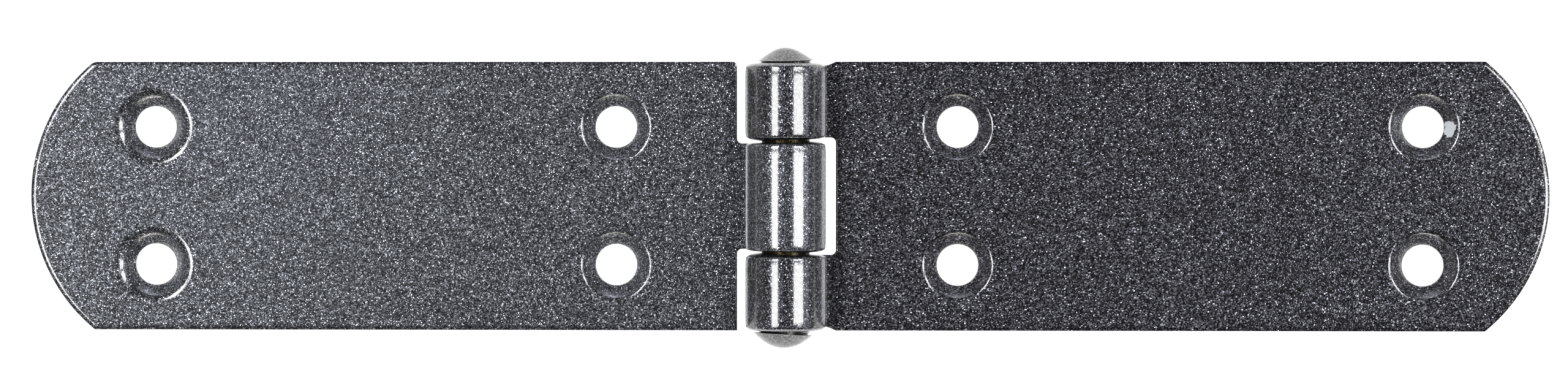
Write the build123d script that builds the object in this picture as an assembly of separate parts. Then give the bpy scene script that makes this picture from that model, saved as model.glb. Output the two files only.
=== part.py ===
from build123d import *
import math
import os

# Chest hinge: two sheet-steel strap leaves with rolled knuckles, held together by a riveted pin.
# Millimetres. The origin is on the back faces, straight below the middle of the pin.
# +X runs out along the leaf with two knuckles, +Y along the pin, +Z out of the front faces.

# Leaves
LEAF_WIDTH = 35.0
LEAF_REACH = 99.0
SHEET = 2.05
END_RISE = 8.3
LEAF_EDGE = 6.45
NOTCH_RADIUS = 0.65
BLUNT_FAR_CORNER = 1.5
BLUNT_NEAR_CORNER = 0.6

# The press leaves a wide, shallow slope along the front edges
PRESS_SLOPE_WIDTH = 0.55
PRESS_SLOPE_DROP = 0.15

# Countersunk screw holes
HOLE_DIAMETER = 5.4
HOLE_NEAR_X = 22.3
HOLE_FAR_X = 82.8
HOLE_ROW_SPACING = 18.0
SINK_DIAMETER = 8.8
SINK_LIP_REACH = 4.75
SOFT_LIP_REACH = 5.2

# Rolled knuckles, sized along the pin at their outer rims
BARREL_DIAMETER = 10.45
ROLL_TURN = 306.0
CENTRE_KNUCKLE_END = 6.87
OUTER_KNUCKLE_START = 7.64
OUTER_KNUCKLE_END = 17.03
FREE_END_BULGE = 0.35
GAP_END_BULGE = 0.31
RIM_CHAMFER = 0.2
TONGUE_CHAMFER = 0.02
TONGUE_SHOULDER_X = 5.3
TONGUE_FLAT_X = 1.8

# Flat pinched into the free rim of the upper outer knuckle
PINCH_ANGLE = 40.0
PINCH_DEPTH = 0.5
PINCH_LENGTH = 0.75
PINCH_SPAN = 6.0

# Riveted pin: each head is tilted and shifted a little, as riveting left it
PIN_DIAMETER = 6.2
NECK_DIAMETER = 6.39
NECK_LENGTH = 4.0
HEAD_FRONT_TILT = 3.0
UPPER_HEAD = {"diameter": 7.0, "flank": 34.0, "crown": 3.8, "standoff": 0.39, "shift": 0.0, "tilt": 0.8}
LOWER_HEAD = {"diameter": 7.55, "flank": 41.0, "crown": 5.8, "standoff": 0.59, "shift": -0.36, "tilt": 3.1}

# Values that follow from the ones above
HALF_WIDTH = LEAF_WIDTH / 2
BARREL_RADIUS = BARREL_DIAMETER / 2
PIN_LINE = Axis((0, 0, BARREL_RADIUS), (0, 1, 0))
KNUCKLE_FACE = OUTER_KNUCKLE_END + FREE_END_BULGE


def centre_tongue():
    """Flat outline of the tongue that is rolled into the middle knuckle."""
    return make_face(
        Polyline(
            (TONGUE_FLAT_X, -CENTRE_KNUCKLE_END),
            (LEAF_EDGE, -CENTRE_KNUCKLE_END),
            (LEAF_EDGE, CENTRE_KNUCKLE_END),
            (TONGUE_FLAT_X, CENTRE_KNUCKLE_END),
            close=True,
        )
    )


def outer_tongue():
    """Flat outline of the tongue for the upper outer knuckle, stepped in from the leaf's long edge."""
    return make_face(
        Polyline(
            (TONGUE_FLAT_X, OUTER_KNUCKLE_START),
            (LEAF_EDGE, OUTER_KNUCKLE_START),
            (LEAF_EDGE, HALF_WIDTH),
            (TONGUE_SHOULDER_X, OUTER_KNUCKLE_END),
            (TONGUE_FLAT_X, OUTER_KNUCKLE_END),
            close=True,
        )
    )


def strap():
    """Flat outline of a leaf beyond its knuckles, with the curved far end."""
    corner_x = LEAF_REACH - END_RISE
    sides = Polyline(
        (corner_x, HALF_WIDTH),
        (LEAF_EDGE, HALF_WIDTH),
        (LEAF_EDGE, -HALF_WIDTH),
        (corner_x, -HALF_WIDTH),
    )
    curved_end = ThreePointArc((corner_x, -HALF_WIDTH), (LEAF_REACH, 0), (corner_x, HALF_WIDTH))
    return make_face(sides + curved_end)


def leaf_blank(tongues, far_corner_radius):
    """Flat pressed blank: strap and tongues in one sheet, with the press slope on its front edges."""
    outline = strap() + tongues
    notch_corners = outline.vertices().filter_by(
        lambda v: abs(v.X - LEAF_EDGE) < 0.01 and abs(v.Y) < HALF_WIDTH - 1
    )
    outline = fillet(notch_corners, NOTCH_RADIUS)
    if far_corner_radius > 0:
        far_corner = outline.vertices().group_by(Axis.X)[-1].sort_by(Axis.Y)[-1]
        outline = fillet(far_corner, far_corner_radius)
    blank = extrude(outline, amount=SHEET)
    front = blank.faces().sort_by(Axis.Z)[-1]
    pressed_edges = front.edges().filter_by(lambda e: e.center().X > LEAF_EDGE + 1)
    return chamfer(pressed_edges, PRESS_SLOPE_WIDTH, PRESS_SLOPE_DROP, reference=front)


def knuckle_section(x, y_low, y_high, bulge_low, bulge_high, rim_chamfer):
    """Section of a tongue across its width, on the plane at x. The face towards the pin is the wider one."""
    outline = make_face(
        Polyline(
            (y_low, 0),
            (y_high, 0),
            (y_high + bulge_high, SHEET),
            (y_low - bulge_low, SHEET),
            close=True,
        )
    )
    rims = outline.vertices().group_by(Axis.Y)[0]
    return Plane.YZ.offset(x) * chamfer(rims, rim_chamfer)


def rolled_knuckle(y_low, y_high, bulge_low, bulge_high):
    """One knuckle: the tongue widens towards the pin, then rolls round it and ends just above the leaf."""
    flat_section = knuckle_section(TONGUE_FLAT_X, y_low, y_high, 0, 0, TONGUE_CHAMFER)
    roll_section = knuckle_section(0, y_low, y_high, bulge_low, bulge_high, RIM_CHAMFER)
    lead_in = loft([flat_section, roll_section])
    roll = revolve(roll_section, PIN_LINE, revolution_arc=ROLL_TURN)
    return lead_in + roll


def sink_cutter(lip_reach):
    """Screw hole and pressed countersink: straight land, 45 degree flank and a rounded lip."""
    lip = lip_reach - SINK_DIAMETER / 2
    flank_r = SINK_DIAMETER / 2 - lip * math.cos(math.radians(45))
    flank_z = SHEET - lip * math.sin(math.radians(45))
    hole_r = HOLE_DIAMETER / 2
    land_z = flank_z - (flank_r - hole_r)
    below = Polyline((0, -1), (hole_r, -1), (hole_r, land_z), (flank_r, flank_z))
    rounded_lip = TangentArc((flank_r, flank_z), (lip_reach, SHEET), tangent=(1, 1))
    above = Polyline((lip_reach, SHEET), (lip_reach, SHEET + 1), (0, SHEET + 1), (0, -1))
    return revolve(Plane.XZ * make_face(below + rounded_lip + above), Axis.Z)


def screw_holes(far_lip_reach):
    """The four holes of one leaf."""
    row_y = HOLE_ROW_SPACING / 2
    near = sink_cutter(SINK_LIP_REACH)
    far = sink_cutter(far_lip_reach)
    cutters = []
    for y in (-row_y, row_y):
        cutters.append(Pos(HOLE_NEAR_X, y, 0) * near)
        cutters.append(Pos(HOLE_FAR_X, y, 0) * far)
    return cutters


def near_corner_cutter():
    """What the press rounds off the upper corner at the knuckle side of a leaf."""
    size = BLUNT_NEAR_CORNER
    square = Pos(LEAF_EDGE + size / 2, HALF_WIDTH - size / 2) * Rectangle(size, size)
    quarter = Pos(LEAF_EDGE + size, HALF_WIDTH - size) * Circle(size)
    return extrude(square - quarter, amount=SHEET)


def pinch_cutter():
    """Block whose underside makes the small flat on the free rim of the upper outer knuckle."""
    angle = math.radians(PINCH_ANGLE)
    outward = Vector(math.cos(angle), 0, math.sin(angle))
    rim = Vector(0, KNUCKLE_FACE - PINCH_LENGTH / 2, BARREL_RADIUS)
    middle = rim + outward * (BARREL_RADIUS - PINCH_DEPTH / 2)
    facing = outward * PINCH_LENGTH + Vector(0, PINCH_DEPTH, 0)
    block = Box(PINCH_SPAN, PINCH_SPAN, SHEET, align=(Align.CENTER, Align.CENTER, Align.MIN))
    return Plane(origin=middle, z_dir=facing) * block


def leaf_outer_knuckles():
    """The leaf on the +X side, with a knuckle at each end of the pin."""
    upper = outer_tongue()
    blank = leaf_blank(upper + mirror(upper, Plane.XZ), 0)
    upper_knuckle = rolled_knuckle(OUTER_KNUCKLE_START, OUTER_KNUCKLE_END, GAP_END_BULGE, FREE_END_BULGE)
    lower_knuckle = mirror(upper_knuckle, Plane.XZ)
    return blank + [upper_knuckle - pinch_cutter(), lower_knuckle] - screw_holes(SINK_LIP_REACH)


def leaf_centre_knuckle():
    """The leaf on the -X side, with the middle knuckle, built on the +X side and mirrored."""
    blank = leaf_blank(centre_tongue(), BLUNT_FAR_CORNER)
    knuckle = rolled_knuckle(-CENTRE_KNUCKLE_END, CENTRE_KNUCKLE_END, GAP_END_BULGE, GAP_END_BULGE)
    leaf = blank + knuckle - screw_holes(SOFT_LIP_REACH) - near_corner_cutter()
    return mirror(leaf, Plane.YZ)


def dome(rim_r, crown_r, flank):
    """Riveted dome: a conical flank from the rim up to a round crown, tangent to it."""
    shoulder_z = (rim_r - crown_r) * math.tan(flank)
    apex_z = shoulder_z + crown_r * math.tan(flank / 2)
    cone = Polyline((0, 0), (rim_r, 0), (crown_r, shoulder_z))
    crown = TangentArc((crown_r, shoulder_z), (0, apex_z), tangent=(-math.cos(flank), math.sin(flank)))
    return revolve(Plane.XZ * make_face(cone + crown + Line((0, apex_z), (0, 0))), Axis.Z)


def rivet_head(side, head):
    """A head at one end of the pin: side is 1 for the upper end and -1 for the lower."""
    rim_r = head["diameter"] / 2
    lean = math.radians(head["tilt"])
    nod = math.radians(HEAD_FRONT_TILT)
    facing = Vector(-math.sin(lean), side * math.cos(lean), math.sin(nod))
    neck_plane = Plane(origin=(0, side * KNUCKLE_FACE, BARREL_RADIUS), x_dir=(1, 0, 0), z_dir=(0, side, 0))
    rim_centre = (head["shift"], side * (KNUCKLE_FACE + head["standoff"]), BARREL_RADIUS)
    rim_plane = Plane(origin=rim_centre, x_dir=(1, 0, 0), z_dir=facing)
    underside = loft([neck_plane * Circle(NECK_DIAMETER / 2), rim_plane * Circle(rim_r)], ruled=True)
    return underside + rim_plane * dome(rim_r, head["crown"] / 2, math.radians(head["flank"]))


def hinge_pin():
    """Shank with swelled necks that grip the outer knuckles, and a riveted head at each end."""
    neck_start = KNUCKLE_FACE - NECK_LENGTH
    half_shank = make_face(
        Polyline(
            (0, -KNUCKLE_FACE),
            (NECK_DIAMETER / 2, -KNUCKLE_FACE),
            (NECK_DIAMETER / 2, -neck_start),
            (PIN_DIAMETER / 2, 1 - neck_start),
            (PIN_DIAMETER / 2, neck_start - 1),
            (NECK_DIAMETER / 2, neck_start),
            (NECK_DIAMETER / 2, KNUCKLE_FACE),
            (0, KNUCKLE_FACE),
            close=True,
        )
    )
    shank = Pos(0, 0, BARREL_RADIUS) * revolve(half_shank, Axis.Y)
    return shank + [rivet_head(1, UPPER_HEAD), rivet_head(-1, LOWER_HEAD)]


os.makedirs("parts", exist_ok=True)
export_step(leaf_outer_knuckles(), "parts/leaf_outer_knuckles.step")
export_step(leaf_centre_knuckle(), "parts/leaf_centre_knuckle.step")
export_step(hinge_pin(), "parts/hinge_pin.step")
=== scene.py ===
import math

import bmesh
import bpy
from mathutils import Matrix, Vector, geometry, noise


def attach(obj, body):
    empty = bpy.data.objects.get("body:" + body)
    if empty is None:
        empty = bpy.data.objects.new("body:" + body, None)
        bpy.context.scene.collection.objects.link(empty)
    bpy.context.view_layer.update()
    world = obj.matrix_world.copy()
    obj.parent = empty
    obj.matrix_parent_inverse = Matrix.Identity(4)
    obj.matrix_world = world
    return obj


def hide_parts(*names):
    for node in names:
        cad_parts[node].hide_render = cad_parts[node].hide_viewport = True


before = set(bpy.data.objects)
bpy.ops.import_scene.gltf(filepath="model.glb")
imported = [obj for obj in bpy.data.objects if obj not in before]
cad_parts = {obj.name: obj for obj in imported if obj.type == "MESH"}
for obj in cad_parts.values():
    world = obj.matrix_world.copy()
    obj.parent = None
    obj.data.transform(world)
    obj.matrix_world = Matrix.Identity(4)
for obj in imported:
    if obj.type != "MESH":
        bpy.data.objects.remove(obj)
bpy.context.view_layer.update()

# Chest hinge: two painted strap leaves with rolled knuckles and a riveted pin.
# Leaf and pin shapes are worked out in millimetres and turned into metres when their meshes are made.
MM = 0.001

# Leaves
LEAF_REACH = 99.0
HALF_WIDTH = 17.5
SHEET = 2.05
CORNER_X = 90.7
LEAF_EDGE = 6.45
NOTCH_RADIUS = 0.65
FAR_CORNER_RADIUS = 1.5
NEAR_CORNER_RADIUS = 0.6

# Knuckles, sized along the pin at their outer rims
BARREL_RADIUS = 5.225
ROLL_TURN = 306.0
CENTRE_END = 6.87
OUTER_START = 7.64
OUTER_END = 17.03
TONGUE_FLAT_X = 1.8
TONGUE_STEPS_X = (4.9, 4.2, 3.4, 2.6, TONGUE_FLAT_X, 1.2, 0.6)
# where the outer leaf's long edge steps in to its knuckle
SHOULDER = (5.85, 17.23)
SHOULDER_FOOT_X = 5.3
# inner rims stand out, most on the side away from the leaf, least near the free end of the roll
CENTRE_BULGE = (0.31, 0.16)
OUTER_BULGE = (0.40, 0.22)
FREE_BULGE = (0.35, 0.35)
# the bulge changes over these degrees of the roll, and fades over these distances from its free end
BULGE_TURN = (110.0, 230.0)
BULGE_FADE = (0.5, 2.0)
# the outside falls in a little towards each rim
RIM_TAPER = 0.09
RIM_TAPER_REACH = 1.5
# hollows in the rolled surface, and the skin that they are in, as distances from the barrel's axis
HOLLOW = 0.008
SKIN = (4.6, 5.4)

# Countersunk screw holes
HOLE_RADIUS = 2.7
HOLE_NEAR_X = 22.3
HOLE_FAR_X = 82.8
HOLE_ROW_SPACING = 18.0
SINK_RADIUS = 4.4
SINK_LIP = 4.75
SOFT_LIP = 5.2

# How the press leaves an edge: slope width and drop on the front, rounding on the back
STRAP_EDGE = (0.66, 0.17, 0.06)
NOTCH_EDGE = (0.34, 0.07, 0.05)
TONGUE_EDGE = (0.14, 0.05, 0.08)
ROLL_EDGE = (0.08, 0.03, 0.26)

# Mesh: rows of points, distances between points on straight edges, and flat margins of edges and holes
ROLL_STEP = 2.0
ROLL_ROWS = 151
RIM_ROWS = (0.62, 0.85, 1.15, 1.55)
LONG_PITCH = 4.0
NOTCH_PITCH = 1.55
EDGE_MARGIN = 0.2
HOLE_FRONT_MARGIN = 0.2
HOLE_BACK_MARGIN = 0.3
HOLE_SIDES = 96
PIN_SIDES = 112
SHARP_DEGREES = 38.0

# Flat pinched into the free rim of the upper outer knuckle
PINCH_ANGLE = 40.0
PINCH_DEPTH = 0.5
PINCH_LENGTH = 0.75

# Riveted pin
SHANK_RADIUS = 3.1
NECK_RADIUS = 3.17
NECK_START = 13.38
KNUCKLE_FACE = OUTER_END + FREE_BULGE[0]
UPPER_HEAD = {"rim": 3.5, "flank": 34.0, "crown": 1.9, "standoff": 0.27, "shift": 0.0, "lean": 0.8}
LOWER_HEAD = {"rim": 3.775, "flank": 41.0, "crown": 2.9, "standoff": 0.36, "shift": -0.36, "lean": 3.1}
HEAD_NOD = 3.0
HEAD_WAVE = 0.035

# Paints, as pigment, flake colour and rarity of bright flakes
FLAKE_SIZE = 0.13
FLAKE_TILT = 0.9
# both leaves carry one paint; the left leaf's copy has more and lighter bright flakes as painted light,
# standing in for the brighter light that falls on the left leaf
RIGHT_PAINT = ((0.006, 0.006, 0.007), (0.76, 0.76, 0.88), 1.15)
LEFT_PAINT_PAINTED_LIGHTER = ((0.006, 0.006, 0.007), (0.78, 0.82, 0.92), 0.82)
PIN_PAINT = ((0.006, 0.006, 0.006), (0.46, 0.46, 0.47), 0.6)
# Spots without paint, as place, reach, colour, metal and clear coat: the hook's mark in the right leaf's
# upper far hole, and the bare shank between the knuckles, its metal darkened as painted shade for the seams
HOOK_MARK = ((85.85, 8.75, 1.4), (1.15, 1.0, 1.2), (0.8, 0.84, 0.9), 0.0, 1.0)
BARE_SHANK_WITH_PAINTED_SHADE = ((0.0, 0.0, BARREL_RADIUS), (5.0, 14.0, 5.0), (0.04, 0.033, 0.018), 1.0, 0.0)

# Camera: metres away, what it looks at, degrees that it leans towards +X and +Y, and the photo's scale
CAMERA_DISTANCE = 0.55
CAMERA_AIM = (-0.31, 1.20, SHEET)
CAMERA_LEAN = (1.7, 1.3)
SENSOR_WIDTH = 36.0
PHOTO_WIDTH_PIXELS = 2560
PIXELS_PER_MM = 12.53

# Studio, in metres: low floor, and the softboxes' azimuth, degrees from vertical, distance and width
FLOOR_Z = -0.106
FLOOR_HALF_SIZE = 14.0
LEFT_SIDE = (180, 29.4, 2.0, 0.62)
RIGHT_SIDE = (0, 38.7, 1.6, 0.8)
# Soft patches on the room's walls, as direction, reach, colour and brightness: pale blue panels over the
# left leaf and low on the right, a warm wall at the lower head and a cool one at the upper head
WALL_SPOTS = (
    ((-0.155, 0.0, 0.98), (0.06, 0.09, 0.5), (0.86, 0.95, 1.2, 1), 0.32),
    ((0.9, 0.0, 0.44), (0.16, 0.6, 0.16), (0.94, 0.97, 1.12, 1), 1.0),
    ((0.0, -1.0, 0.12), (0.8, 0.3, 0.4), (1.0, 0.95, 0.86, 1), 3.4),
    ((0.0, 1.0, 0.12), (0.8, 0.3, 0.4), (0.94, 0.96, 1.1, 1), 1.5),
)


def arc_points(centre, radius, start, end, steps):
    """Points on an arc, angles in degrees, both ends included."""
    points = []
    for i in range(steps + 1):
        angle = math.radians(start + (end - start) * i / steps)
        points.append((centre[0] + radius * math.cos(angle), centre[1] + radius * math.sin(angle)))
    return points


def line_points(start, end, pitch):
    """Evenly spaced points from start up to, but not including, end."""
    length = math.dist(start, end)
    steps = max(1, round(length / pitch))
    return [
        (start[0] + (end[0] - start[0]) * i / steps, start[1] + (end[1] - start[1]) * i / steps)
        for i in range(steps)
    ]


def worked(points, edge, bulge=0.0):
    """Outline points that share one kind of edge."""
    return [{"at": p, "edge": edge, "bulge": bulge, "station": None} for p in points]


def blend_edges(a, b, share):
    return tuple(x + (y - x) * share for x, y in zip(a, b))


def smooth(share):
    share = min(1.0, max(0.0, share))
    return share * share * (3 - 2 * share)


def fade(value, start, end):
    """Rises smoothly from 0 at the start to 1 at the end."""
    return smooth((value - start) / (end - start))


def far_end(corner_radius):
    """Half of the curved far end, from its middle to the long edge."""
    rise = LEAF_REACH - CORNER_X
    radius = (HALF_WIDTH**2 + rise**2) / (2 * rise)
    centre = (LEAF_REACH - radius, 0.0)
    corner_angle = math.degrees(math.asin(HALF_WIDTH / radius))
    if corner_radius == 0:
        return worked(arc_points(centre, radius, 0, corner_angle, 44), STRAP_EDGE)
    # the small corner arc touches both the end arc and the long edge
    small_y = HALF_WIDTH - corner_radius
    small_x = centre[0] + math.sqrt((radius - corner_radius) ** 2 - small_y**2)
    touch = math.degrees(math.atan2(small_y, small_x - centre[0]))
    points = arc_points(centre, radius, 0, touch, 42)
    points += arc_points((small_x, small_y), corner_radius, touch, 90, 10)[1:]
    return worked(points, STRAP_EDGE)


def roll_stations():
    """Distances along the blank at which the roll gets a row of points."""
    return [-math.radians(ROLL_STEP * i) * BARREL_RADIUS for i in range(ROLL_ROWS)]


ROLL_LENGTH = math.radians(ROLL_TURN) * BARREL_RADIUS


def roll_side(y, bulge, tag):
    """One side of a rolled tongue: the points beyond the flat, tagged by their row."""
    side = []
    for number, s in enumerate(roll_stations()):
        turned = math.degrees(-s / BARREL_RADIUS)
        most, least = bulge
        here = most + (least - most) * fade(turned, *BULGE_TURN)
        here *= fade(ROLL_LENGTH + s, *BULGE_FADE)
        side.append({"at": (s, y), "edge": ROLL_EDGE, "bulge": here, "station": (tag, number)})
    side.append({"at": (-ROLL_LENGTH, y), "edge": ROLL_EDGE, "bulge": 0.0, "station": (tag, "end")})
    return side


def tongue_side(y, bulge):
    """Flat part of a tongue's side, from the leaf towards the roll, widening at its front."""
    side = []
    for x in TONGUE_STEPS_X:
        spread = max(0.0, 1 - x / TONGUE_FLAT_X)
        edge = blend_edges(TONGUE_EDGE, ROLL_EDGE, smooth(spread))
        side.append({"at": (x, y), "edge": edge, "bulge": bulge[0] * spread, "station": None})
    return side


def row_ys(y_low, y_high):
    """Lines along a knuckle on which its surface has points, closer together near the rims."""
    middle_steps = 3
    low, high = y_low + RIM_ROWS[-1], y_high - RIM_ROWS[-1]
    lines = [y_low + n for n in RIM_ROWS]
    lines += [low + (high - low) * i / middle_steps for i in range(1, middle_steps)]
    lines += [y_high - n for n in reversed(RIM_ROWS)]
    return lines


def end_points(ys, tag):
    """Points across the free end of a roll."""
    shared = {"edge": ROLL_EDGE, "bulge": 0.0, "station": (tag, "across")}
    return [{"at": (-ROLL_LENGTH, y), **shared} for y in ys]


def notch_corner(y, direction):
    """Rounded inner corner of a notch. The void is on the side that direction points to."""
    steps = 8
    centre = (LEAF_EDGE - NOTCH_RADIUS, y + direction * NOTCH_RADIUS)
    rim = []
    for i in range(steps + 1):
        angle = math.radians(90.0 * i / steps)
        point = (
            centre[0] + NOTCH_RADIUS * math.sin(angle),
            centre[1] - direction * NOTCH_RADIUS * math.cos(angle),
        )
        rim += worked([point], blend_edges(TONGUE_EDGE, NOTCH_EDGE, i / steps))
    return rim


def outer_half(tag):
    """Half outline of the leaf with two outer knuckles, from the middle of its far end to its notch."""
    half = far_end(0)
    half += worked(line_points((CORNER_X, HALF_WIDTH), (LEAF_EDGE, HALF_WIDTH), LONG_PITCH)[1:], STRAP_EDGE)
    half += worked([(LEAF_EDGE, HALF_WIDTH)], blend_edges(STRAP_EDGE, TONGUE_EDGE, 0.35))
    half += worked([SHOULDER], blend_edges(STRAP_EDGE, TONGUE_EDGE, 0.7))
    half += worked([(SHOULDER_FOOT_X, OUTER_END)], TONGUE_EDGE)
    half += tongue_side(OUTER_END, FREE_BULGE)
    half += roll_side(OUTER_END, FREE_BULGE, tag + "_free")
    half += end_points(list(reversed(row_ys(OUTER_START, OUTER_END))), tag)
    half += list(reversed(roll_side(OUTER_START, OUTER_BULGE, tag + "_gap")))
    half += list(reversed(tongue_side(OUTER_START, OUTER_BULGE)))
    half += notch_corner(OUTER_START, -1)
    notch_side = line_points((LEAF_EDGE, OUTER_START - NOTCH_RADIUS), (LEAF_EDGE, 0), NOTCH_PITCH)
    half += worked(notch_side[1:], NOTCH_EDGE)
    return half


def near_corner(radius):
    """Upper or lower corner at the knuckle side of the leaf with the middle knuckle."""
    if radius == 0:
        return worked([(LEAF_EDGE, HALF_WIDTH)], NOTCH_EDGE)
    centre = (LEAF_EDGE + radius, HALF_WIDTH - radius)
    return worked(arc_points(centre, radius, 90, 180, 8), NOTCH_EDGE)


def centre_half(tag, far_radius, near_radius):
    """Half outline of the leaf with the middle knuckle, from its far end's middle to its roll's end."""
    half = far_end(far_radius)
    start_x = half[-1]["at"][0]
    near = near_corner(near_radius)
    long_side = line_points((start_x, HALF_WIDTH), (near[0]["at"][0], HALF_WIDTH), LONG_PITCH)
    half += worked(long_side[1:], STRAP_EDGE)
    half[-1]["edge"] = blend_edges(STRAP_EDGE, NOTCH_EDGE, 0.5)
    half += near
    notch_top = CENTRE_END + NOTCH_RADIUS
    half += worked(line_points(near[-1]["at"], (LEAF_EDGE, notch_top), NOTCH_PITCH)[1:], NOTCH_EDGE)
    half += list(reversed(notch_corner(CENTRE_END, 1)))
    half += tongue_side(CENTRE_END, CENTRE_BULGE)
    half += roll_side(CENTRE_END, CENTRE_BULGE, tag)
    return half


def mirrored(half):
    """The same points on the lower side, in reversed order."""
    flipped = []
    for p in reversed(half):
        q = dict(p)
        q["at"] = (p["at"][0], -p["at"][1])
        flipped.append(q)
    return flipped


def outer_outline():
    upper = outer_half("upper")
    lower = mirrored(outer_half("lower"))
    middle = worked([(LEAF_EDGE, 0.0)], NOTCH_EDGE)
    return upper + middle + lower[:-1]


def centre_outline():
    upper = centre_half("top", FAR_CORNER_RADIUS, NEAR_CORNER_RADIUS)
    lower = mirrored(centre_half("bottom", 0, 0))
    ys = list(reversed(row_ys(-CENTRE_END, CENTRE_END)))
    return upper + end_points(ys, "centre") + lower[:-1]


def edge_profile(edge, bulge, taper):
    """Points round a sheared edge as (inward distance, height), from the back face round to the front.
    Taper is 1 where the back face falls away towards a knuckle's rim, and 0 on the flat."""
    slope, drop, rounding = edge
    top = SHEET - drop
    profile = [(rounding + EDGE_MARGIN, 0.0)]
    for i in range(5):
        angle = math.radians(90.0 * i / 4)
        profile.append((rounding * (1 - math.sin(angle)), rounding * (1 - math.cos(angle))))
    # the front corner is broken by a small nose, itself blunted at its tip
    nose, tip = 0.05, 0.015
    for share in (0.06, 0.2, 0.5, 0.93):
        height = rounding + (top - nose - rounding) * share
        profile.append((-bulge * share**0.5, height))
    profile.append((-bulge, top - nose))
    profile.append((-bulge + tip, top - tip))
    slope_steps = 6
    for i in range(slope_steps + 1):
        share = i / slope_steps
        inward = nose + (slope - nose) * share
        profile.append((-bulge + inward, SHEET - drop * (1 - share) ** 2))
    profile.append((-bulge + slope + max(0.12, 0.35 * slope), SHEET))
    return [(d, h + taper * rim_taper(d) * (1 - h / SHEET)) for d, h in profile]


def inward_directions(points):
    """For each outline point, the mitred direction into the sheet."""
    count = len(points)
    area = 0.0
    for i in range(count):
        (x0, y0), (x1, y1) = points[i], points[(i + 1) % count]
        area += x0 * y1 - x1 * y0
    turn = 1 if area > 0 else -1
    directions = []
    for i in range(count):
        before, here, after = points[i - 1], points[i], points[(i + 1) % count]
        first = Vector((here[0] - before[0], here[1] - before[1])).normalized()
        second = Vector((after[0] - here[0], after[1] - here[1])).normalized()
        n1 = Vector((-first.y, first.x)) * turn
        n2 = Vector((-second.y, second.x)) * turn
        directions.append((n1 + n2) / (1 + n1.dot(n2)))
    return directions


def rim_taper(from_rim):
    """How far the outside of a knuckle has fallen in at a distance from its rim."""
    return RIM_TAPER * (1 - min(max(from_rim, 0.0), RIM_TAPER_REACH) / RIM_TAPER_REACH) ** 2


def inside(point, polygon):
    """True where a point lies inside a closed polygon."""
    x, y = point
    hit = False
    for i in range(len(polygon)):
        (x0, y0), (x1, y1) = polygon[i - 1], polygon[i]
        if (y0 > y) != (y1 > y) and x < (x1 - x0) * (y - y0) / (y1 - y0) + x0:
            hit = not hit
    return hit


def sink_profile(lip_reach):
    """Screw hole and countersink from the back face to the front, as (radius, height)."""
    lip = lip_reach - SINK_RADIUS
    bend = lip / math.tan(math.radians(22.5))
    flank_r = SINK_RADIUS - lip * math.cos(math.radians(45))
    flank_z = SHEET - lip * math.sin(math.radians(45))
    land_z = flank_z - (flank_r - HOLE_RADIUS)
    profile = [(HOLE_RADIUS + HOLE_BACK_MARGIN, 0.0), (HOLE_RADIUS + 0.05, 0.0), (HOLE_RADIUS + 0.012, 0.015)]
    profile += [(HOLE_RADIUS, 0.05), (HOLE_RADIUS, land_z - 0.06), (HOLE_RADIUS + 0.02, land_z + 0.01)]
    for share in (0.06, 0.35, 0.7, 0.94):
        profile.append((HOLE_RADIUS + (flank_r - HOLE_RADIUS) * share, land_z + (flank_z - land_z) * share))
    arc_steps = 10
    for i in range(arc_steps + 1):
        angle = math.radians(45 * (1 - i / arc_steps))
        profile.append((lip_reach - bend * math.sin(angle), SHEET - bend * (1 - math.cos(angle))))
    profile.append((lip_reach + HOLE_FRONT_MARGIN, SHEET))
    return profile


def dish_object(name, lip_reach):
    """One pressed screw hole, turned about its own axis."""
    shape = bmesh.new()
    rings = []
    for radius, height in sink_profile(lip_reach):
        ring = []
        for i in range(HOLE_SIDES):
            angle = math.tau * i / HOLE_SIDES
            x, y = radius * math.cos(angle), radius * math.sin(angle)
            ring.append(shape.verts.new((x * MM, y * MM, height * MM)))
        rings.append(ring)
    bridge_rings(shape, rings)
    mesh = bpy.data.meshes.new(name)
    shape.to_mesh(mesh)
    shape.free()
    dish = bpy.data.objects.new(name, mesh)
    bpy.context.scene.collection.objects.link(dish)
    return dish


def bridge_rings(shape, rings):
    """Quads between neighbouring closed rings of the same count."""
    count = len(rings[0])
    for lower, upper in zip(rings, rings[1:]):
        for i in range(count):
            j = (i + 1) % count
            shape.faces.new((lower[i], lower[j], upper[j], upper[i]))


def new_tree(kind, name, inputs, outputs):
    """A node tree with named inputs, as (name, kind, value), and named outputs, as (name, kind)."""
    tree = bpy.data.node_groups.new(name, kind)
    sockets = {}
    for label, socket_kind, value in inputs:
        socket = tree.interface.new_socket(label, in_out="INPUT", socket_type=socket_kind)
        if value is not None:
            socket.default_value = value
        sockets[label] = socket.identifier
    for label, socket_kind in outputs:
        tree.interface.new_socket(label, in_out="OUTPUT", socket_type=socket_kind)
    return tree, sockets, tree.nodes.new("NodeGroupInput"), tree.nodes.new("NodeGroupOutput")


def add_node(tree, kind, inputs=None, **settings):
    """Adds a node. Each input, by name or number, gets a plain value or is fed by another node's output."""
    node = tree.nodes.new(kind)
    for name, value in settings.items():
        setattr(node, name, value)
    for socket, value in (inputs or {}).items():
        if isinstance(value, bpy.types.NodeSocket):
            tree.links.new(value, node.inputs[socket])
        else:
            node.inputs[socket].default_value = value
    return node


def maths(tree, operation, *values):
    """One step of arithmetic on numbers, or on sockets that give numbers."""
    return add_node(tree, "ShaderNodeMath", dict(enumerate(values)), operation=operation).outputs["Value"]


def vector_maths(tree, operation, *values):
    """One step of arithmetic on vectors."""
    node = add_node(tree, "ShaderNodeVectorMath", dict(enumerate(values)), operation=operation)
    return node.outputs["Vector"]


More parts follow.
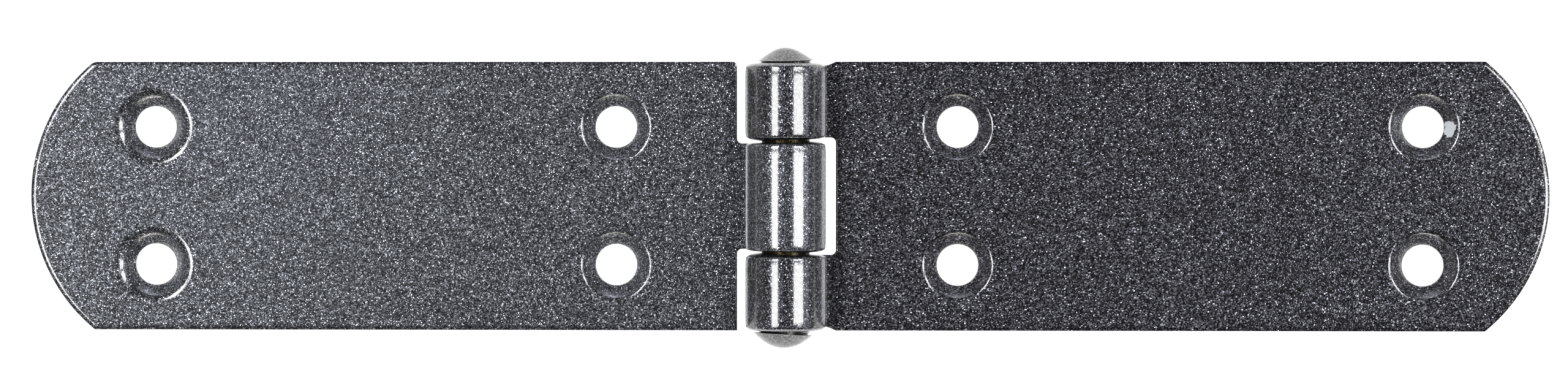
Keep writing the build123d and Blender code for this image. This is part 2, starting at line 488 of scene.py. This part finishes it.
def map_range(tree, value, source, target, curve="LINEAR"):
    """Takes a value from one range to another."""
    ends = {"From Min": source[0], "From Max": source[1], "To Min": target[0], "To Max": target[1]}
    node = add_node(tree, "ShaderNodeMapRange", {"Value": value, **ends}, interpolation_type=curve)
    return node.outputs["Result"]


def finish_tree(tree, geometry_socket, group_in, group_out):
    """Ends a tree in Realize Instances and Set Material."""
    realize = add_node(tree, "GeometryNodeRealizeInstances", {"Geometry": geometry_socket})
    painted = {"Geometry": realize.outputs["Geometry"], "Material": group_in.outputs["Paint"]}
    material = add_node(tree, "GeometryNodeSetMaterial", painted)
    tree.links.new(material.outputs["Geometry"], group_out.inputs["Geometry"])


def screw_hole_tree():
    """Two near and two far screw holes, each pair in line across the leaf."""
    tree, sockets, group_in, group_out = new_tree(
        "GeometryNodeTree",
        "Pressed screw holes",
        [
            ("Near Hole", "NodeSocketObject", None),
            ("Far Hole", "NodeSocketObject", None),
            ("Near Distance", "NodeSocketFloat", HOLE_NEAR_X * MM),
            ("Far Distance", "NodeSocketFloat", HOLE_FAR_X * MM),
            ("Row Spacing", "NodeSocketFloat", HOLE_ROW_SPACING * MM),
            ("Paint", "NodeSocketMaterial", None),
        ],
        [("Geometry", "NodeSocketGeometry")],
    )
    given = group_in.outputs
    join = add_node(tree, "GeometryNodeJoinGeometry")
    half = maths(tree, "MULTIPLY", given["Row Spacing"], -0.5)
    step = add_node(tree, "ShaderNodeCombineXYZ", {"Y": given["Row Spacing"]})
    for which in ("Near", "Far"):
        start = add_node(tree, "ShaderNodeCombineXYZ", {"X": given[which + " Distance"], "Y": half})
        line = {"Count": 2, "Start Location": start.outputs["Vector"], "Offset": step.outputs["Vector"]}
        row = add_node(tree, "GeometryNodeMeshLine", line, mode="OFFSET")
        source = add_node(tree, "GeometryNodeObjectInfo", {"Object": given[which + " Hole"]})
        pair = {"Points": row.outputs["Mesh"], "Instance": source.outputs["Geometry"]}
        place = add_node(tree, "GeometryNodeInstanceOnPoints", pair)
        tree.links.new(place.outputs["Instances"], join.inputs["Geometry"])
    finish_tree(tree, join.outputs["Geometry"], group_in, group_out)
    return tree, sockets


def roll_tree():
    """Rolls whatever lies beyond the blank's zero line round the pin."""
    tree, sockets, group_in, group_out = new_tree(
        "GeometryNodeTree",
        "Roll tongues round the pin",
        [
            ("Blank", "NodeSocketGeometry", None),
            ("Barrel Radius", "NodeSocketFloat", BARREL_RADIUS * MM),
            ("Paint", "NodeSocketMaterial", None),
        ],
        [("Geometry", "NodeSocketGeometry")],
    )
    position = add_node(tree, "GeometryNodeInputPosition").outputs["Position"]
    place = add_node(tree, "ShaderNodeSeparateXYZ", {"Vector": position}).outputs
    radius = group_in.outputs["Barrel Radius"]
    angle = maths(tree, "DIVIDE", place["X"], radius)
    reach = maths(tree, "SUBTRACT", radius, place["Z"])
    rolled_x = maths(tree, "MULTIPLY", reach, maths(tree, "SINE", angle))
    rolled_z = maths(tree, "SUBTRACT", radius, maths(tree, "MULTIPLY", reach, maths(tree, "COSINE", angle)))
    rolled = add_node(tree, "ShaderNodeCombineXYZ", {"X": rolled_x, "Y": place["Y"], "Z": rolled_z})
    on_roll = add_node(tree, "FunctionNodeCompare", {"A": place["X"]}, operation="LESS_THAN")
    changes = {
        "Geometry": group_in.outputs["Blank"],
        "Selection": on_roll.outputs["Result"],
        "Position": rolled.outputs["Vector"],
    }
    move = add_node(tree, "GeometryNodeSetPosition", changes)
    finish_tree(tree, move.outputs["Geometry"], group_in, group_out)
    return tree, sockets


def run_tree(obj, tree, sockets, values):
    """Runs a tree on an object and returns the plain mesh that it makes."""
    modifier = obj.modifiers.new(tree.name, "NODES")
    modifier.node_group = tree
    for label, value in values.items():
        modifier[sockets[label]] = value
    bpy.context.view_layer.update()
    depsgraph = bpy.context.evaluated_depsgraph_get()
    mesh = bpy.data.meshes.new_from_object(obj.evaluated_get(depsgraph))
    obj.modifiers.remove(modifier)
    return mesh


def screw_hole_mesh(near_lip, far_lip, paint, trees):
    """Mesh of a leaf's four screw holes."""
    near = dish_object("near_dish", near_lip)
    far = dish_object("far_dish", far_lip)
    carrier = bpy.data.objects.new("dish_carrier", bpy.data.meshes.new("dish_carrier"))
    bpy.context.scene.collection.objects.link(carrier)
    tree, sockets = trees["holes"]
    mesh = run_tree(carrier, tree, sockets, {"Near Hole": near, "Far Hole": far, "Paint": paint})
    for scratch in (near, far, carrier):
        bpy.data.objects.remove(scratch)
    return mesh


def hole_rims(shape, near_radius, far_radius, height):
    """The four closed rings of points at their radius and height, in order round each hole."""
    same = 0.004
    rims = []
    for x, radius in ((HOLE_NEAR_X, near_radius), (HOLE_FAR_X, far_radius)):
        for y in (-HOLE_ROW_SPACING / 2, HOLE_ROW_SPACING / 2):
            ring = []
            for v in shape.verts:
                away = math.hypot(v.co.x / MM - x, v.co.y / MM - y)
                if abs(away - radius) < same and abs(v.co.z / MM - height) < same:
                    ring.append(v)
            ring.sort(key=lambda v: math.atan2(v.co.y / MM - y, v.co.x / MM - x))
            rims.append(ring)
    return rims


def flat_fill(shape, walk, rims):
    """Fills a flat face between its outline and its screw holes with triangles."""
    loops = [walk] + rims
    verts, edges = [], []
    for loop in loops:
        first = len(verts)
        verts += loop
        edges += [(first + i, first + (i + 1) % len(loop)) for i in range(len(loop))]
    flat = [Vector((v.co.x / MM, v.co.y / MM)) for v in verts]
    made = geometry.delaunay_2d_cdt(flat, edges, [], 0, 1e-7)
    source = [ids[0] if ids else None for ids in made[3]]
    border = [(p.x, p.y) for p in flat[: len(walk)]]
    holes = [[(v.co.x / MM, v.co.y / MM) for v in ring] for ring in rims]
    for face in made[2]:
        corners = [made[0][i] for i in face]
        x = sum(c.x for c in corners) / len(corners)
        y = sum(c.y for c in corners) / len(corners)
        if any(inside((x, y), hole) for hole in holes) or not inside((x, y), border):
            continue
        shape.faces.new([verts[source[i]] for i in face])


def knuckle_rows(outline):
    """For each knuckle: the index of its points down both sides, and across its end."""
    index = {}
    across = {}
    for i, p in enumerate(outline):
        if p["station"] is None:
            continue
        tag, number = p["station"]
        if number == "across":
            across.setdefault(tag, []).append(i)
        else:
            index[(tag, number)] = i
    return index, across


def leaf_blank(outline, knuckles, near_lip, far_lip, paint, trees):
    """Flat blank of one leaf as a closed mesh, tongues unrolled."""
    shape = bmesh.new()
    holes = screw_hole_mesh(near_lip, far_lip, paint, trees)
    shape.from_mesh(holes)
    bpy.data.meshes.remove(holes)

    points = [p["at"] for p in outline]
    inward = inward_directions(points)
    rings = []
    for p, into in zip(outline, inward):
        taper = 0.0
        if p["station"] or p["at"][0] <= TONGUE_FLAT_X:
            taper = smooth(1 - max(p["at"][0], 0) / TONGUE_FLAT_X)
        if p["station"] and p["station"][1] in ("across", "end"):
            taper = 0.0
        column = []
        for distance, height in edge_profile(p["edge"], p["bulge"], taper):
            x, y = p["at"][0] + into.x * distance, p["at"][1] + into.y * distance
            column.append(shape.verts.new((x * MM, y * MM, height * MM)))
        rings.append(column)
    count = len(outline)
    for i in range(count):
        here, after = rings[i], rings[(i + 1) % count]
        for k in range(len(here) - 1):
            shape.faces.new((here[k], here[k + 1], after[k + 1], after[k]))

    index, across = knuckle_rows(outline)
    back_rim = HOLE_RADIUS + HOLE_BACK_MARGIN
    for layer, height, near_rim, far_rim in (
        (0, 0.0, back_rim, back_rim),
        (-1, SHEET, near_lip + HOLE_FRONT_MARGIN, far_lip + HOLE_FRONT_MARGIN),
    ):
        walk_rows = {}
        for knuckle in knuckles:
            walk_rows.update(fill_roll(shape, rings, index, across, knuckle, layer, height))
        walk = []
        for i, p in enumerate(outline):
            if p["at"][0] < -1e-6:
                continue
            walk.append(rings[i][layer])
            if i in walk_rows:
                walk += walk_rows[i]
        flat_fill(shape, walk, hole_rims(shape, near_rim, far_rim, height))
    bmesh.ops.remove_doubles(shape, verts=shape.verts, dist=1e-7)
    bmesh.ops.recalc_face_normals(shape, faces=shape.faces)
    return shape


def fill_roll(shape, rings, index, across, knuckle, layer, height):
    """Rows of quads over one face of a tongue, from its zero line to its end."""
    first_side, second_side, tag, y_low, y_high = knuckle
    ys = list(reversed(row_ys(y_low, y_high)))
    rows = []
    number = 0
    while (first_side, number) in index:
        one = rings[index[(first_side, number)]][layer]
        two = rings[index[(second_side, number)]][layer]
        s = one.co.x
        inner = []
        for y in ys:
            drop = rim_taper(min(y - y_low, y_high - y)) if layer == 0 else 0.0
            inner.append(shape.verts.new((s, y * MM, (height + drop) * MM)))
        rows.append([one] + inner + [two])
        number += 1
    end_row = [rings[i][layer] for i in across[tag]]
    if abs(end_row[0].co.y - ys[0] * MM) > 1e-6:
        end_row.reverse()
    one = rings[index[(first_side, "end")]][layer]
    two = rings[index[(second_side, "end")]][layer]
    rows.append([one] + end_row + [two])
    for row, after in zip(rows, rows[1:]):
        for k in range(len(row) - 1):
            shape.faces.new((row[k], row[k + 1], after[k + 1], after[k]))
    zero_row = rows[0][1:-1]
    one_index, two_index = index[(first_side, 0)], index[(second_side, 0)]
    # the walk meets the first side before the roll and the second side after it
    if one_index < two_index:
        return {one_index: zero_row}
    return {two_index: list(reversed(zero_row))}


def hammer(shape):
    """Slight hollows in the rolled surface, so that reflections are not ruler straight."""
    for v in shape.verts:
        radial = Vector((v.co.x, 0, v.co.z - BARREL_RADIUS * MM))
        on_leaf = v.co.x > 3.0 * MM and v.co.z <= 3.5 * MM
        if on_leaf or not SKIN[0] * MM < radial.length < SKIN[1] * MM:
            continue
        wave = noise.noise(Vector((v.co.x * 260, v.co.y * 170, v.co.z * 260 + 3.1)))
        v.co += radial.normalized() * (wave - 1) * HOLLOW * MM


def pinch(shape):
    """Cuts the small flat into the free rim of the upper outer knuckle."""
    angle = math.radians(PINCH_ANGLE)
    outward = Vector((math.cos(angle), 0, math.sin(angle)))
    middle = outward * (BARREL_RADIUS - PINCH_DEPTH / 2)
    middle += Vector((0, KNUCKLE_FACE - PINCH_LENGTH / 2, BARREL_RADIUS))
    facing = (outward * PINCH_LENGTH + Vector((0, PINCH_DEPTH, 0))).normalized()
    search_y, search_radius = 14.5, 6.0
    near = []
    for face in shape.faces:
        c = face.calc_center_median() / MM
        if c.y > search_y and c.z > BARREL_RADIUS and math.hypot(c.x, c.z - BARREL_RADIUS) < search_radius:
            near.append(face)
    # each point and edge once, always in the same order
    verts = list(dict.fromkeys(v for f in near for v in f.verts))
    edges = list(dict.fromkeys(e for f in near for e in f.edges))
    cut = bmesh.ops.bisect_plane(
        shape,
        geom=verts + edges + near,
        plane_co=middle * MM,
        plane_no=facing,
        clear_outer=True,
    )
    rim = [e for e in cut["geom_cut"] if isinstance(e, bmesh.types.BMEdge) and e.is_boundary]
    bmesh.ops.holes_fill(shape, edges=rim, sides=0)


def make_piece(name, shape, material):
    """Object with its place in its mesh, smooth but for its sharp edges."""
    for face in shape.faces:
        face.smooth = True
        face.material_index = 0
    mesh = bpy.data.meshes.new(name)
    shape.to_mesh(mesh)
    shape.free()
    mesh.materials.clear()
    mesh.materials.append(material)
    mesh.set_sharp_from_angle(angle=math.radians(SHARP_DEGREES))
    piece = bpy.data.objects.new(name, mesh)
    bpy.context.scene.collection.objects.link(piece)
    return piece


def rolled_leaf(name, blank, paint, trees):
    """Runs the roll on a flat blank and returns the rolled shape for finishing."""
    mesh = bpy.data.meshes.new(name + "_blank")
    blank.to_mesh(mesh)
    blank.free()
    carrier = bpy.data.objects.new(name + "_blank", mesh)
    bpy.context.scene.collection.objects.link(carrier)
    tree, sockets = trees["roll"]
    rolled = run_tree(carrier, tree, sockets, {"Paint": paint})
    bpy.data.objects.remove(carrier)
    shape = bmesh.new()
    shape.from_mesh(rolled)
    bpy.data.meshes.remove(rolled)
    hammer(shape)
    return shape


def outer_leaf(paint, trees):
    """The +X leaf with its two outer knuckles."""
    knuckles = [
        ("upper_free", "upper_gap", "upper", OUTER_START, OUTER_END),
        ("lower_gap", "lower_free", "lower", -OUTER_END, -OUTER_START),
    ]
    blank = leaf_blank(outer_outline(), knuckles, SINK_LIP, SINK_LIP, paint, trees)
    shape = rolled_leaf("outer_leaf", blank, paint, trees)
    pinch(shape)
    return make_piece("outer_leaf", shape, paint)


def centre_leaf(paint, trees):
    """The -X leaf with the middle knuckle, made on the +X side and mirrored."""
    knuckles = [("top", "bottom", "centre", -CENTRE_END, CENTRE_END)]
    blank = leaf_blank(centre_outline(), knuckles, SINK_LIP, SOFT_LIP, paint, trees)
    shape = rolled_leaf("centre_leaf", blank, paint, trees)
    for v in shape.verts:
        v.co.x = -v.co.x
    bmesh.ops.recalc_face_normals(shape, faces=shape.faces)
    return make_piece("centre_leaf", shape, paint)


def head_profile(head):
    """Riveted head from its neck to its apex, as (radius, height above the rim)."""
    rim, crown = head["rim"], head["crown"]
    flank = math.radians(head["flank"])
    shoulder = (rim - crown) * math.tan(flank)
    bend = crown / math.sin(flank)
    profile = [(NECK_RADIUS + 0.05, -0.05), (rim - 0.1, 0.0)]
    profile += [(rim - 0.03, 0.012), (rim, 0.06), (rim - 0.03, 0.1)]
    for share in (0.12, 0.3, 0.5, 0.7, 0.88):
        bow = 0.05 * math.sin(math.pi * share)
        profile.append((rim - (rim - crown) * share, shoulder * share + bow))
    steps = 10
    for i in range(steps):
        angle = flank * (1 - i / steps)
        profile.append((bend * math.sin(angle), shoulder + bend * (math.cos(angle) - math.cos(flank))))
    return profile, shoulder + bend * (1 - math.cos(flank))


def head_rings(side, head):
    """Rings of a riveted head, tilted and shifted as riveting left it, and its apex."""
    lean, nod = math.radians(head["lean"]), math.radians(HEAD_NOD)
    facing = Vector((-math.sin(lean), side * math.cos(lean), math.sin(nod))).normalized()
    across = Vector((1, 0, 0))
    across = (across - facing * across.dot(facing)).normalized()
    third = Vector((0, 0, 1))
    third = (third - facing * third.dot(facing) - across * third.dot(across)).normalized()
    centre = Vector((head["shift"], side * (KNUCKLE_FACE + head["standoff"]), BARREL_RADIUS))
    profile, apex = head_profile(head)
    rings = []
    for radius, height in profile:
        ring = []
        for i in range(PIN_SIDES):
            angle = math.tau * i / PIN_SIDES
            p = centre + across * radius * math.cos(angle) + third * radius * math.sin(angle)
            p += facing * height
            wave = noise.noise(p * 0.55 + Vector((9, 2, 5))) * HEAD_WAVE * min(1.0, height / 0.5)
            ring.append(p + facing * wave)
        rings.append(ring)
    return rings, centre + facing * apex


def hinge_pin(paint):
    """Shank, swelled necks and two riveted heads as one closed shape."""
    shape = bmesh.new()

    def shaft_ring(y, radius):
        angles = [math.tau * i / PIN_SIDES for i in range(PIN_SIDES)]
        return [Vector((radius * math.cos(a), y, BARREL_RADIUS + radius * math.sin(a))) for a in angles]

    upper, upper_apex = head_rings(1, UPPER_HEAD)
    lower, lower_apex = head_rings(-1, LOWER_HEAD)
    half = [(6.9, SHANK_RADIUS), (7.6, SHANK_RADIUS), (NECK_START - 1, SHANK_RADIUS)]
    half += [(NECK_START, NECK_RADIUS), (KNUCKLE_FACE - 0.3, NECK_RADIUS), (KNUCKLE_FACE, NECK_RADIUS)]
    places = list(reversed(lower))
    places += [shaft_ring(-y, radius) for y, radius in reversed(half)]
    places += [shaft_ring(y, radius) for y, radius in half]
    places += upper
    rings = [[shape.verts.new(p * MM) for p in ring] for ring in places]
    bridge_rings(shape, rings)
    for ring, apex in ((rings[0], lower_apex), (rings[-1], upper_apex)):
        tip = shape.verts.new(apex * MM)
        for i in range(PIN_SIDES):
            shape.faces.new((ring[i], ring[(i + 1) % PIN_SIDES], tip))
    bmesh.ops.recalc_face_normals(shape, faces=shape.faces)
    return make_piece("pin", shape, paint)


# Paint

def flake_group():
    """Metal flakes in a dark paint: every flake has its own brightness and its own tilt."""
    group, _, group_in, group_out = new_tree(
        "ShaderNodeTree",
        "Metal flakes",
        [
            ("Flake Size", "NodeSocketFloat", None),
            ("Tilt", "NodeSocketFloat", None),
            ("Rarity", "NodeSocketFloat", None),
            ("Pigment", "NodeSocketColor", None),
            ("Flake", "NodeSocketColor", None),
        ],
        [("Color", "NodeSocketColor"), ("Normal", "NodeSocketVector")],
    )
    given = group_in.outputs

    # one cell for each flake, with its own chances
    place = add_node(group, "ShaderNodeTexCoord").outputs["Object"]
    scaled = vector_maths(group, "DIVIDE", place, given["Flake Size"])
    cells = add_node(group, "ShaderNodeTexVoronoi", {"Scale": 1.0, "Vector": scaled}, feature="F1")
    chance = add_node(group, "ShaderNodeSeparateColor", {"Color": cells.outputs["Color"]}).outputs
    own = {"Vector": cells.outputs["Color"]}
    draw = add_node(group, "ShaderNodeTexWhiteNoise", own, noise_dimensions="3D")

    # colour: few flakes are bright, each fades towards its rim, and they crowd in faint clouds
    ramp = add_node(group, "ShaderNodeValToRGB", {"Fac": chance["Red"]})
    stops = ((0.0, 0.006), (0.25, 0.055), (0.5, 0.13), (0.75, 0.34), (0.9, 0.8), (1.0, 1.0))
    elements = ramp.color_ramp.elements
    for element, (position, value) in zip(elements, (stops[0], stops[-1])):
        element.position = position
        element.color = (value, value, value, 1)
    for position, value in stops[1:-1]:
        elements.new(position).color = (value, value, value, 1)
    rare = maths(group, "POWER", ramp.outputs["Color"], given["Rarity"])
    disc = map_range(group, cells.outputs["Distance"], (0.25, 0.65), (1.0, 0.3), "SMOOTHSTEP")
    clouds = add_node(group, "ShaderNodeTexNoise", {"Scale": 0.3, "Detail": 1.0, "Vector": scaled})
    crowd = map_range(group, clouds.outputs["Fac"], (0.3, 0.7), (0.6, 1.4))
    amount = maths(group, "MULTIPLY", maths(group, "MULTIPLY", rare, disc), crowd)
    blend = {"Factor": amount, "A": given["Pigment"], "B": given["Flake"]}
    tone = add_node(group, "ShaderNodeMix", blend, data_type="RGBA")
    group.links.new(tone.outputs["Result"], group_out.inputs["Color"])

    # normal: most flakes lie nearly flat
    centred = vector_maths(group, "SUBTRACT", draw.outputs["Color"], (0.5, 0.5, 0.5))
    mostly_flat = maths(group, "POWER", chance["Green"], 1.8)
    reach = maths(group, "MULTIPLY_ADD", mostly_flat, given["Tilt"], 0.03)
    lean = add_node(group, "ShaderNodeVectorMath", {0: centred, "Scale": reach}, operation="SCALE")
    surface = add_node(group, "ShaderNodeNewGeometry").outputs["Normal"]
    leaned = vector_maths(group, "ADD", surface, lean.outputs["Vector"])
    group.links.new(vector_maths(group, "NORMALIZE", leaned), group_out.inputs["Normal"])
    return group


def flake_paint(name, flakes, pigment, flake, rarity):
    """Clear-coated metal-flake paint. A higher rarity leaves fewer flakes bright."""
    material = bpy.data.materials.new(name)
    material.use_nodes = True
    tree = material.node_tree
    shader = tree.nodes["Principled BSDF"]
    values = {
        "Flake Size": FLAKE_SIZE * MM,
        "Tilt": FLAKE_TILT,
        "Rarity": rarity,
        "Pigment": pigment + (1,),
        "Flake": flake + (1,),
    }
    paint = add_node(tree, "ShaderNodeGroup", values, node_tree=flakes)
    tree.links.new(paint.outputs["Color"], shader.inputs["Base Color"])
    tree.links.new(paint.outputs["Normal"], shader.inputs["Normal"])
    shader.inputs["Metallic"].default_value = 0.8
    shader.inputs["Roughness"].default_value = 0.31
    shader.inputs["Specular IOR Level"].default_value = 0.0
    shader.inputs["Coat Weight"].default_value = 1.0
    shader.inputs["Coat Roughness"].default_value = 0.125
    shader.inputs["Coat IOR"].default_value = 1.9
    return material


def patch_group():
    """A small patch with an uneven edge: white inside it and black outside."""
    group, _, group_in, group_out = new_tree(
        "ShaderNodeTree",
        "Uneven patch",
        [("Place", "NodeSocketVector", None), ("Reach", "NodeSocketVector", None)],
        [("Mask", "NodeSocketFloat")],
    )
    place = add_node(group, "ShaderNodeTexCoord").outputs["Object"]
    away = vector_maths(group, "SUBTRACT", place, group_in.outputs["Place"])
    scaled = vector_maths(group, "DIVIDE", away, group_in.outputs["Reach"])
    uneven = add_node(group, "ShaderNodeTexNoise", {"Scale": 1.6, "Vector": scaled})
    length = add_node(group, "ShaderNodeVectorMath", {0: scaled}, operation="LENGTH")
    edge = maths(group, "ADD", uneven.outputs["Fac"], length.outputs["Value"])
    mask = map_range(group, edge, (1.45, 1.55), (1.0, 0.0), "SMOOTHSTEP")
    group.links.new(mask, group_out.inputs["Mask"])
    return group


def bare_patch(material, patches, place, reach, colour, metallic, coat):
    """Spot without paint, with its own colour, its own share of metal and its own share of clear coat."""
    tree = material.node_tree
    shader = tree.nodes["Principled BSDF"]
    spot = {"Place": Vector(place) * MM, "Reach": Vector(reach) * MM}
    mask = add_node(tree, "ShaderNodeGroup", spot, node_tree=patches).outputs["Mask"]
    painted = shader.inputs["Base Color"].links[0].from_socket
    blend = {"Factor": mask, "A": painted, "B": colour + (1,)}
    bare = add_node(tree, "ShaderNodeMix", blend, data_type="RGBA")
    tree.links.new(bare.outputs["Result"], shader.inputs["Base Color"])
    for label, inside_value in (("Metallic", metallic), ("Coat Weight", coat)):
        change = map_range(tree, mask, (0.0, 1.0), (shader.inputs[label].default_value, inside_value))
        tree.links.new(change, shader.inputs[label])


# Camera, floor and light

def studio_camera():
    """Camera over the hinge, leaning a little towards the right leaf and the upper head."""
    lean_x, lean_y = (math.radians(lean) for lean in CAMERA_LEAN)
    towards = Vector((math.sin(lean_x), math.sin(lean_y), 1)).normalized()
    camera = bpy.data.objects.new("camera", bpy.data.cameras.new("camera"))
    bpy.context.scene.collection.objects.link(camera)
    camera.location = Vector(CAMERA_AIM) * MM + towards * CAMERA_DISTANCE
    across = Vector((0, 1, 0)).cross(towards).normalized()
    camera.rotation_euler = Matrix((across, towards.cross(across), towards)).transposed().to_euler()
    camera.data.sensor_width = SENSOR_WIDTH
    camera.data.lens = SENSOR_WIDTH * CAMERA_DISTANCE / (PHOTO_WIDTH_PIXELS / PIXELS_PER_MM * MM)
    camera.data.clip_start = 0.01
    camera.data.clip_end = 50.0
    bpy.context.scene.camera = camera


def studio_floor():
    """Pale floor, low enough for a leaf to hang down, white to the camera where nothing shades it."""
    mesh = bpy.data.meshes.new("floor")
    signs = ((-1, -1), (1, -1), (1, 1), (-1, 1))
    corners = [(x * FLOOR_HALF_SIZE, y * FLOOR_HALF_SIZE, FLOOR_Z) for x, y in signs]
    mesh.from_pydata(corners, [], [(0, 1, 2, 3)])
    floor = bpy.data.objects.new("floor", mesh)
    bpy.context.scene.collection.objects.link(floor)
    material = bpy.data.materials.new("pale_floor")
    material.use_nodes = True
    tree = material.node_tree
    tree.nodes.clear()

    def mixed(share, first, second):
        node = add_node(tree, "ShaderNodeMixShader", {"Fac": share, 1: first, 2: second})
        return node.outputs["Shader"]

    matt = add_node(tree, "ShaderNodeBsdfDiffuse", {"Color": (0.85, 0.85, 0.85, 1)}).outputs["BSDF"]
    faint = add_node(tree, "ShaderNodeBsdfDiffuse", {"Color": (0.35, 0.35, 0.35, 1)}).outputs["BSDF"]
    glow = add_node(tree, "ShaderNodeEmission", {"Strength": 0.85}).outputs["Emission"]
    seen_white = add_node(tree, "ShaderNodeAddShader", {0: faint, 1: glow}).outputs["Shader"]
    path = add_node(tree, "ShaderNodeLightPath").outputs
    seen = maths(tree, "MAXIMUM", path["Is Camera Ray"], path["Is Glossy Ray"])
    seen = maths(tree, "MAXIMUM", seen, path["Is Transmission Ray"])
    front = mixed(seen, matt, seen_white)
    # from below, the floor lets the camera see the back of the hinge
    below = add_node(tree, "ShaderNodeNewGeometry").outputs["Backfacing"]
    clear = add_node(tree, "ShaderNodeBsdfTransparent").outputs["BSDF"]
    add_node(tree, "ShaderNodeOutputMaterial", {"Surface": mixed(below, front, clear)})
    mesh.materials.append(material)


def wall_spot(tree, direction, place, reach, colour, brightness):
    """Soft patch of light on the room's wall, brightest at its place."""
    away = {"Vector": direction, "Location": place, "Scale": reach}
    spot = add_node(tree, "ShaderNodeMapping", away, vector_type="TEXTURE").outputs["Vector"]
    ball = add_node(tree, "ShaderNodeTexGradient", {"Vector": spot}, gradient_type="SPHERICAL")
    strength = map_range(tree, ball.outputs["Fac"], (0.0, 1.0), (0.0, brightness), "SMOOTHSTEP")
    patch = add_node(tree, "ShaderNodeBackground", {"Color": colour, "Strength": strength})
    return patch.outputs["Background"]


def studio_world():
    """Room with white low walls, brighter on the left, and a dim ceiling."""
    world = bpy.data.worlds.new("studio")
    bpy.context.scene.world = world
    world.use_nodes = True
    tree = world.node_tree
    walls = tree.nodes["Background"]
    place = add_node(tree, "ShaderNodeTexCoord").outputs["Generated"]
    split = add_node(tree, "ShaderNodeSeparateXYZ", {"Vector": place}).outputs
    side = map_range(tree, split["X"], (-0.6, 0.6), (0.24, 0.12))
    low = map_range(tree, split["Z"], (0.0, 0.03), (0.4, side), "SMOOTHSTEP")
    high = map_range(tree, split["Z"], (0.3, 0.6), (low, 0.02), "SMOOTHSTEP")
    tree.links.new(high, walls.inputs["Strength"])
    walls.inputs["Color"].default_value = (1, 1, 1, 1)

    light = walls.outputs["Background"]
    for spot in WALL_SPOTS:
        both = {0: light, 1: wall_spot(tree, place, *spot)}
        light = add_node(tree, "ShaderNodeAddShader", both).outputs["Shader"]
    tree.links.new(light, tree.nodes["World Output"].inputs["Surface"])


def softbox(name, side, length, power, middle_y):
    """Rectangular soft light facing the hinge, its length level. Azimuth 0 is +X and 90 is +Y."""
    azimuth, from_vertical, distance, width = side
    data = bpy.data.lights.new(name, "AREA")
    data.shape = "RECTANGLE"
    data.size = length
    data.size_y = width
    data.energy = power
    lamp = bpy.data.objects.new(name, data)
    bpy.context.scene.collection.objects.link(lamp)
    a, f = math.radians(azimuth), math.radians(from_vertical)
    away = Vector((math.sin(f) * math.cos(a), math.sin(f) * math.sin(a), math.cos(f)))
    lamp.location = away * distance + Vector((0, middle_y, 0))
    lamp.rotation_euler = away.to_track_quat("Z", "Y").to_euler()
    lamp.visible_camera = False


def studio_lights():
    """Two softboxes in a row on either side."""
    softbox("left_softbox", LEFT_SIDE, 0.62, 10.8, -0.2)
    softbox("left_upper_softbox", LEFT_SIDE, 0.72, 14.0, 0.606)
    softbox("right_softbox", RIGHT_SIDE, 0.36, 7.9, -0.09)
    softbox("right_upper_softbox", RIGHT_SIDE, 0.4, 8.6, 0.43)


def main():
    bpy.context.scene.view_settings.view_transform = "Standard"
    studio_camera()
    studio_floor()
    studio_world()
    studio_lights()
    flakes = flake_group()
    right_paint = flake_paint("outer_leaf_paint", flakes, *RIGHT_PAINT)
    # the left leaf's paint is a lighter copy of the right leaf's, as painted light for the brighter light on
    # the left leaf
    left_paint_painted_lighter = flake_paint("centre_leaf_paint_painted_lighter", flakes, *LEFT_PAINT_PAINTED_LIGHTER)
    pin_paint = flake_paint("pin_paint", flakes, *PIN_PAINT)
    patches = patch_group()
    bare_patch(right_paint, patches, *HOOK_MARK)
    # the shank's bare metal is made very dark as painted shade for the narrow seams between the knuckles
    bare_patch(pin_paint, patches, *BARE_SHANK_WITH_PAINTED_SHADE)
    trees = {"holes": screw_hole_tree(), "roll": roll_tree()}
    right = outer_leaf(right_paint, trees)
    left = centre_leaf(left_paint_painted_lighter, trees)
    pin = hinge_pin(pin_paint)
    for piece, body, node, slot in (
        (right, "outer_leaf", "leaf_outer_knuckles", "leaf_outer_paint"),
        (left, "centre_leaf", "leaf_centre_knuckle", "leaf_centre_paint"),
        (pin, "outer_leaf", "hinge_pin", "pin_paint"),
    ):
        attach(piece, body)
        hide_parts(node)


main()
